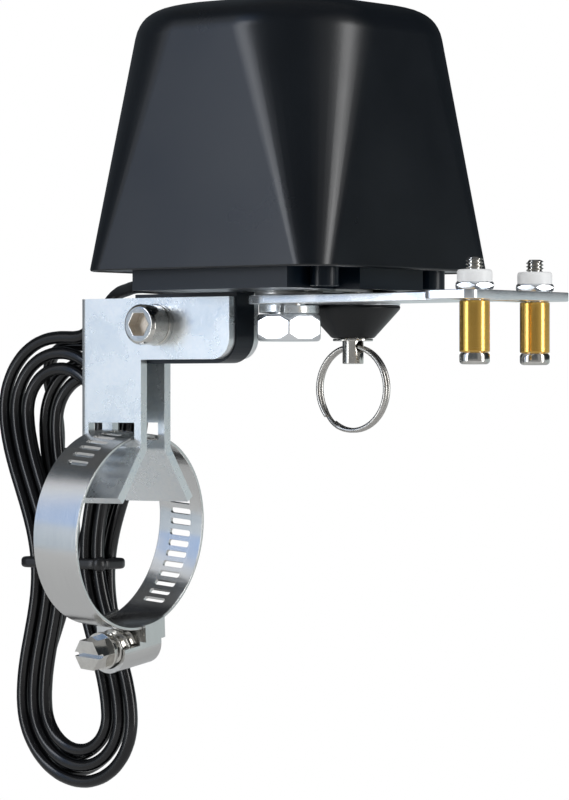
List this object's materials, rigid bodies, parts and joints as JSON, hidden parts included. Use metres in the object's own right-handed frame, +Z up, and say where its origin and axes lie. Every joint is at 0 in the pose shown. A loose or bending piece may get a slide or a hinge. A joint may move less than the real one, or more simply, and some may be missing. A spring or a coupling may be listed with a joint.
{
  "type": "clamp-on valve actuator",
  "caption": "Clamp-on motor drive for a lever valve: domed housing on a bracket with a perforated hose clamp, a slotted arm with sleeved pins, a pull-ring clutch and a coiled power cord.",
  "frame": {"origin": "centre of the hose clamp's ring, on the axis of the pipe it grips", "axes": "+X along the pipe, toward the tip of the arm at rest; +Z up from the pipe to the housing; -Y the side with the bracket bolt's head"},
  "size_m": [0.1593, 0.0714, 0.1682],
  "materials": {
    "housing": "satin",
    "zinc": "bright zinc plate",
    "nickel": "polished nickel",
    "stainless": "brushed",
    "brass": "turned",
    "cord": "glossy",
    "gear": "matte",
    "board": "glossy",
    "light": "clear",
    "steel": "plain"
  },
  "bodies": {
    "body": {"base": "housing", "cover": "housing", "cover_screws": "steel", "shaft_bush": "brass", "gear_plate": "steel", "gear_plate_screws": "steel", "gearmotor": "steel", "circuit_board": "board", "radio_module": "nickel", "switch_open": "housing", "switch_closed": "housing", "light_pipe": "light", "bracket": "zinc", "bracket_bolt": "nickel", "bracket_washer": "nickel", "bracket_nut": "zinc", "clamp_band": "stainless", "clamp_housing": "stainless", "cable_gland": "cord", "cord": "cord", "cord_hank": "cord", "cord_tie": "cord", "cord_tail": "cord", "cord_plug": "cord"},
    "output": {"output_shaft": "steel", "output_gear": "gear", "drive_crank": "zinc", "thrust_washer": "steel", "arm_plate": "zinc", "spring_washer": "zinc", "pivot_bolt": "zinc", "plunger_housing": "housing", "plunger_spring": "steel"},
    "pinion": {"drive_pinion": "brass"},
    "plunger": {"plunger_pin": "nickel", "plunger_clip": "nickel"},
    "ring": {"pull_ring": "nickel"},
    "pin_1": {"lever_screw_1": "nickel", "lever_nut_1": "zinc"},
    "pin_2": {"lever_screw_2": "nickel", "lever_nut_2": "zinc"},
    "sleeve_1": {"lever_sleeve_1": "brass"},
    "sleeve_2": {"lever_sleeve_2": "brass"},
    "screw": {"clamp_screw": "nickel"},
    "button": {"push_button": "housing"}
  },
  "joints": [
    {"name": "arm_turn", "type": "hinge", "parent": "body", "child": "output", "pos_m": [0.044, 0, 0.05], "axis": [0, 0, 1], "range_deg": [-90, 0]},
    {"name": "pinion_turn", "type": "hinge", "parent": "body", "child": "pinion", "pos_m": [0.03212, 0.01188, 0.06], "axis": [0, 0, 1], "range_deg": [0, 225]},
    {"name": "plunger_pull", "type": "slide", "parent": "output", "child": "plunger", "axis": [0, 0, -1], "range_m": [0, 0.0028], "stiffness_N_per_m": 900, "springref_m": -0.004, "deforming": ["plunger_spring"]},
    {"name": "ring_swing", "type": "hinge", "parent": "plunger", "child": "ring", "pos_m": [0.04749, 0.0173, 0.03885], "axis": [1, 0, 0], "range_deg": [-80, 80]},
    {"name": "pin_1_slide", "type": "slide", "parent": "output", "child": "pin_1", "axis": [0, 1, 0], "range_m": [-0.0051, 0.0034]},
    {"name": "pin_2_slide", "type": "slide", "parent": "output", "child": "pin_2", "axis": [0, 1, 0], "range_m": [-0.0085, 0]},
    {"name": "sleeve_1_spin", "type": "hinge", "parent": "pin_1", "child": "sleeve_1", "pos_m": [0.09635, -0.0079, 0.042], "axis": [0, 0, 1], "continuous": true},
    {"name": "sleeve_2_spin", "type": "hinge", "parent": "pin_2", "child": "sleeve_2", "pos_m": [0.09635, 0.013, 0.042], "axis": [0, 0, 1], "continuous": true},
    {"name": "clamp_screw_turn", "type": "hinge", "parent": "body", "child": "screw", "pos_m": [-0.00394, 0.00372, -0.02475], "axis": [-0.0129, -0.989, -0.1472], "continuous": true},
    {"name": "button_press", "type": "slide", "parent": "body", "child": "button", "axis": [1, 0, 0], "range_m": [0, 0.0006], "stiffness_N_per_m": 1500, "springref_m": -0.0005}
  ],
  "couplings": [
    {"joint": "pinion_turn", "follows": "arm_turn", "ratio": -2.5}
  ]
}
